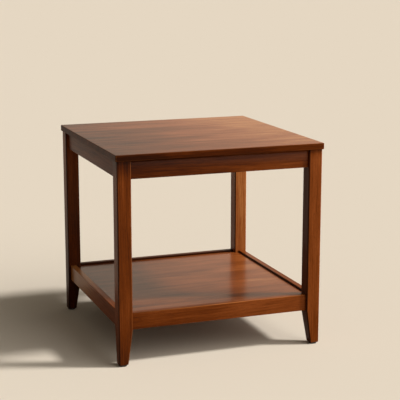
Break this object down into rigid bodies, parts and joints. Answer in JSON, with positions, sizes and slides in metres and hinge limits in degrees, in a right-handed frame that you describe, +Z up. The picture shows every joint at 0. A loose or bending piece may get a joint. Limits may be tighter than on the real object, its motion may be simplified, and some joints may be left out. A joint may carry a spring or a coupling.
{
  "type": "end table with shelf",
  "caption": "Square wooden end table with tapered feet, set-back aprons and a sunken lower shelf framed by rails.",
  "frame": {"origin": "on the floor under the middle of the top", "axes": "+Z up, front towards -Y, +X to the right as seen from the front"},
  "size_m": [0.61, 0.605, 0.59],
  "materials": {
    "stained_wood": "red-brown stain under satin lacquer",
    "bare_wood": "bare planed softwood",
    "dowel_wood": "bare turned beech",
    "screw_steel": "zinc plated",
    "glide_nylon": "matt moulded nylon"
  },
  "bodies": {
    "root": {"table_top": "stained_wood", "leg_front_left": "stained_wood", "leg_front_right": "stained_wood", "leg_back_left": "stained_wood", "leg_back_right": "stained_wood", "apron_front": "stained_wood", "apron_back": "stained_wood", "apron_left": "stained_wood", "apron_right": "stained_wood", "shelf_rail_front": "stained_wood", "shelf_rail_back": "stained_wood", "shelf_rail_left": "stained_wood", "shelf_rail_right": "stained_wood", "shelf_panel": "stained_wood", "shelf_cleat_front": "bare_wood", "shelf_cleat_back": "bare_wood", "shelf_cleat_left": "bare_wood", "shelf_cleat_right": "bare_wood", "corner_block_front_left": "bare_wood", "corner_block_front_right": "bare_wood", "corner_block_back_left": "bare_wood", "corner_block_back_right": "bare_wood", "apron_dowels": "dowel_wood", "shelf_rail_dowels": "dowel_wood", "corner_block_screws": "screw_steel", "top_screws": "screw_steel", "cleat_screws": "screw_steel", "shelf_screws": "screw_steel", "foot_glide_front_left": "glide_nylon", "foot_glide_front_right": "glide_nylon", "foot_glide_back_left": "glide_nylon", "foot_glide_back_right": "glide_nylon", "glide_nails": "screw_steel"}
  },
  "joints": []
}
